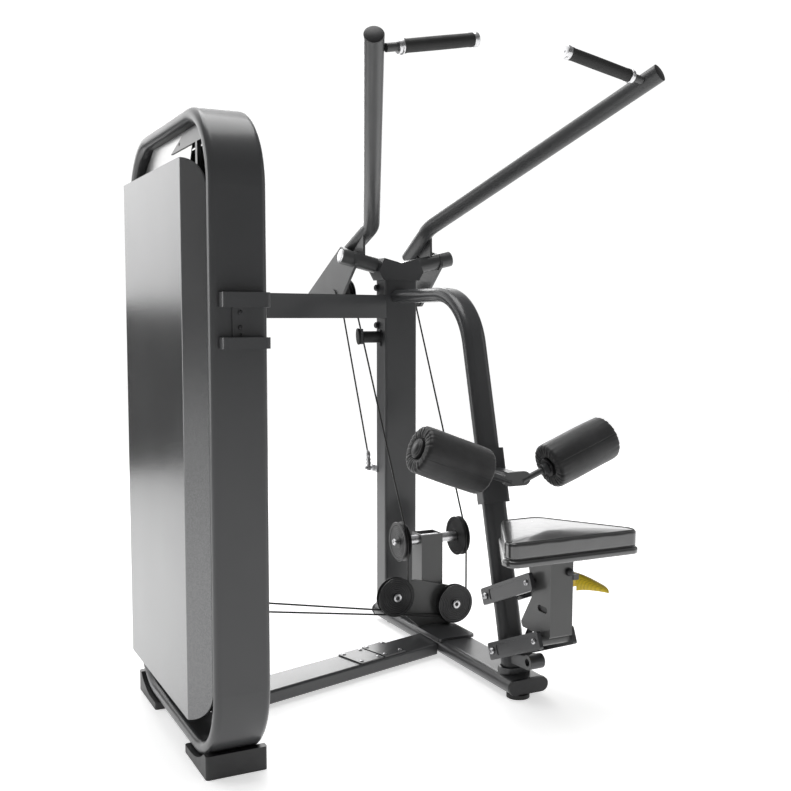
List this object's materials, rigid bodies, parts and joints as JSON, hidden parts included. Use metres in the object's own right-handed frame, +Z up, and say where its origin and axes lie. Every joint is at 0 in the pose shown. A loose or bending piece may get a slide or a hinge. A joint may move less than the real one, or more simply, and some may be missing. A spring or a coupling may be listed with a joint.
{
  "type": "lat pulldown machine",
  "caption": "Lat pulldown machine: diverging overhead arms with inward handles on a post, weight tower on one side, cable pulleys, thigh rollers and a height-adjustable seat.",
  "frame": {"origin": "centre of the floor face of the rear foot, straight under the main post", "axes": "+Z up, +Y the way the seated user faces, +X to the user's right, away from the weight tower"},
  "size_m": [1.5214, 1.5008, 1.8866],
  "materials": {
    "frame_paint": "semi-gloss charcoal powder coat",
    "cover_paint": "metallic silver-grey lacquer",
    "moulded_black": "fine-grained black",
    "pulley_black": "turned nylon, satin",
    "soft_rubber": "matte",
    "plated_steel": "zinc and chrome plated",
    "dark_steel": "black painted cylinder",
    "plate_iron": "black painted iron",
    "bright_aluminium": "turned, satin",
    "coated_cable": "black coated steel cable",
    "upholstery": "grained black synthetic leather",
    "board": "black stained plywood",
    "yellow_lever": "gloss yellow"
  },
  "bodies": {
    "frame": {"tower_frame": "frame_paint", "tower_feet": "moulded_black", "outer_cover": "cover_paint", "inner_cover": "cover_paint", "upper_shroud": "cover_paint", "guide_rods": "plated_steel", "tower_crosshead": "frame_paint", "stack_bumpers": "soft_rubber", "resting_plates": "plate_iron", "redirect_bracket": "frame_paint", "holder_bracket": "frame_paint", "upper_beam": "frame_paint", "base_beam": "frame_paint", "beam_plates": "frame_paint", "main_post": "frame_paint", "head_bracket": "frame_paint", "base_tube": "frame_paint", "base_tube_caps": "moulded_black", "base_feet": "soft_rubber", "frame_bolts": "plated_steel", "pulley_bracket": "frame_paint", "cross_axle": "plated_steel", "cable_anchors": "plated_steel", "fixed_cables": "coated_cable", "stack_cables": "coated_cable", "left_anchor_run": "coated_cable", "left_pulley_run": "coated_cable", "right_anchor_run": "coated_cable", "right_pulley_run": "coated_cable", "seat_post": "frame_paint", "thigh_bracket": "frame_paint"},
    "weight_stack": {"lifted_plates": "plate_iron", "stack_head": "plate_iron"},
    "selector_pin": {"selector_pin": "plated_steel"},
    "left_arm": {"left_arm": "frame_paint", "left_grip": "soft_rubber", "left_grip_collars": "bright_aluminium"},
    "right_arm": {"right_arm": "frame_paint", "right_grip": "soft_rubber", "right_grip_collars": "bright_aluminium"},
    "left_lever_pulley": {"left_lever_pulley": "pulley_black"},
    "right_lever_pulley": {"right_lever_pulley": "pulley_black"},
    "upper_pulley_left": {"upper_pulley_left": "pulley_black"},
    "upper_pulley_right": {"upper_pulley_right": "pulley_black"},
    "lower_pulley_left": {"lower_pulley_left": "pulley_black"},
    "lower_pulley_right": {"lower_pulley_right": "pulley_black"},
    "redirect_pulley_left": {"redirect_pulley_left": "pulley_black"},
    "redirect_pulley_right": {"redirect_pulley_right": "pulley_black"},
    "top_pulleys_rear": {"top_pulleys_rear": "pulley_black"},
    "top_pulleys_stack": {"top_pulleys_stack": "pulley_black"},
    "left_roller": {"left_roller": "upholstery"},
    "right_roller": {"right_roller": "upholstery"},
    "upper_links": {"upper_links": "frame_paint"},
    "lower_links": {"lower_links": "frame_paint"},
    "seat": {"seat_carriage": "frame_paint", "seat_board": "board", "seat_cushion": "upholstery"},
    "height_lever": {"height_lever": "yellow_lever"},
    "gas_spring_body": {"gas_spring_body": "dark_steel"},
    "gas_spring_rod": {"gas_spring_rod": "plated_steel"}
  },
  "joints": [
    {"name": "stack_lift", "type": "slide", "parent": "frame", "child": "weight_stack", "axis": [0, 0, 1], "range_m": [0, 0.319], "deforming": ["stack_cables"]},
    {"name": "selector_pin_pull", "type": "slide", "parent": "weight_stack", "child": "selector_pin", "axis": [1, 0, 0], "range_m": [0, 0.09]},
    {"name": "left_arm_swing", "type": "hinge", "parent": "frame", "child": "left_arm", "pos_m": [-0.0838, 0, 1.28335], "axis": [0.9744, 0, -0.225], "range_deg": [0, 48.2], "deforming": ["left_anchor_run", "left_pulley_run"]},
    {"name": "right_arm_swing", "type": "hinge", "parent": "frame", "child": "right_arm", "pos_m": [0.0838, 0, 1.28335], "axis": [0.9744, 0, 0.225], "range_deg": [0, 48.2], "deforming": ["right_anchor_run", "right_pulley_run"]},
    {"name": "left_lever_pulley_turn", "type": "hinge", "parent": "left_arm", "child": "left_lever_pulley", "pos_m": [-0.123, 0.159, 1.176], "axis": [1, 0, 0], "range_deg": [-172, 0]},
    {"name": "upper_pulley_left_turn", "type": "hinge", "parent": "frame", "child": "upper_pulley_left", "pos_m": [-0.111, -0.2527, 0.353], "axis": [1, 0, 0], "range_deg": [-320, 0]},
    {"name": "right_lever_pulley_turn", "type": "hinge", "parent": "right_arm", "child": "right_lever_pulley", "pos_m": [0.123, 0.159, 1.176], "axis": [1, 0, 0], "range_deg": [-172, 0]},
    {"name": "upper_pulley_right_turn", "type": "hinge", "parent": "frame", "child": "upper_pulley_right", "pos_m": [0.111, -0.2527, 0.353], "axis": [1, 0, 0], "range_deg": [-320, 0]},
    {"name": "lower_pulley_left_turn", "type": "hinge", "parent": "frame", "child": "lower_pulley_left", "pos_m": [-0.157, -0.31, 0.183], "axis": [0, 1, 0], "range_deg": [-398, 0]},
    {"name": "lower_pulley_right_turn", "type": "hinge", "parent": "frame", "child": "lower_pulley_right", "pos_m": [0.065, -0.31, 0.135], "axis": [0, 1, 0], "range_deg": [-398, 0]},
    {"name": "redirect_pulley_left_turn", "type": "hinge", "parent": "frame", "child": "redirect_pulley_left", "pos_m": [-0.892, -0.325, 0.318], "axis": [0, 1, 0], "range_deg": [-423, 0]},
    {"name": "redirect_pulley_right_turn", "type": "hinge", "parent": "frame", "child": "redirect_pulley_right", "pos_m": [-0.862, -0.297, 0.27], "axis": [0, 1, 0], "range_deg": [-423, 0]},
    {"name": "top_pulleys_rear_turn", "type": "hinge", "parent": "frame", "child": "top_pulleys_rear", "pos_m": [-0.92, -0.355, 1.455], "axis": [1, 0, 0], "range_deg": [-407, 0]},
    {"name": "top_pulleys_stack_turn", "type": "hinge", "parent": "frame", "child": "top_pulleys_stack", "pos_m": [-0.92, -0.585, 1.455], "axis": [1, 0, 0], "range_deg": [-407, 0]},
    {"name": "left_roller_spin", "type": "hinge", "parent": "frame", "child": "left_roller", "pos_m": [-0.2, -0.785, 0.69157], "axis": [0.9354, 0, -0.3535], "continuous": true},
    {"name": "right_roller_spin", "type": "hinge", "parent": "frame", "child": "right_roller", "pos_m": [0.2, -0.785, 0.69157], "axis": [0.9354, 0, 0.3535], "continuous": true},
    {"name": "seat_link_swing", "type": "hinge", "parent": "frame", "child": "upper_links", "pos_m": [0, -0.722, 0.275], "axis": [1, 0, 0], "range_deg": [-12, 28]},
    {"name": "lower_link_swing", "type": "hinge", "parent": "frame", "child": "lower_links", "pos_m": [0, -0.764, 0.12], "axis": [1, 0, 0], "range_deg": [-12.2, 28.2]},
    {"name": "seat_level", "type": "hinge", "parent": "upper_links", "child": "seat", "pos_m": [0, -0.936, 0.364], "axis": [1, 0, 0], "range_deg": [-28.2, 12.2]},
    {"name": "gas_spring_tilt", "type": "hinge", "parent": "frame", "child": "gas_spring_body", "pos_m": [0.022, -0.804, 0.142], "axis": [1, 0, 0], "range_deg": [-9.6, 22]},
    {"name": "gas_spring_stroke", "type": "slide", "parent": "gas_spring_body", "child": "gas_spring_rod", "axis": [0, -0.5111, 0.8595], "range_m": [-0.0715, 0.031]},
    {"name": "height_lever_lift", "type": "hinge", "parent": "seat", "child": "height_lever", "pos_m": [0.046, -1.002, 0.388], "axis": [0, -1, 0], "range_deg": [0, 14], "stiffness_Nm_per_rad": 0.8, "springref_deg": -20.05}
  ],
  "couplings": [
    {"joint": "left_arm_swing", "follows": "stack_lift", "rad_per_m": 2.6317},
    {"joint": "right_arm_swing", "follows": "stack_lift", "rad_per_m": 2.6317},
    {"joint": "left_lever_pulley_turn", "follows": "stack_lift", "rad_per_m": -9.3809},
    {"joint": "upper_pulley_left_turn", "follows": "stack_lift", "rad_per_m": -17.452},
    {"joint": "right_lever_pulley_turn", "follows": "stack_lift", "rad_per_m": -9.3809},
    {"joint": "upper_pulley_right_turn", "follows": "stack_lift", "rad_per_m": -17.452},
    {"joint": "lower_pulley_left_turn", "follows": "stack_lift", "rad_per_m": -21.739},
    {"joint": "lower_pulley_right_turn", "follows": "stack_lift", "rad_per_m": -21.739},
    {"joint": "redirect_pulley_left_turn", "follows": "stack_lift", "rad_per_m": -23.095},
    {"joint": "redirect_pulley_right_turn", "follows": "stack_lift", "rad_per_m": -23.095},
    {"joint": "top_pulleys_rear_turn", "follows": "stack_lift", "rad_per_m": -22.222},
    {"joint": "top_pulleys_stack_turn", "follows": "stack_lift", "rad_per_m": -22.222},
    {"joint": "lower_link_swing", "follows": "seat_link_swing", "ratio": 1},
    {"joint": "seat_level", "follows": "seat_link_swing", "ratio": -1},
    {"joint": "gas_spring_tilt", "follows": "seat_link_swing", "ratio": 0.775},
    {"joint": "gas_spring_stroke", "follows": "seat_link_swing", "m_per_rad": -0.1455}
  ]
}
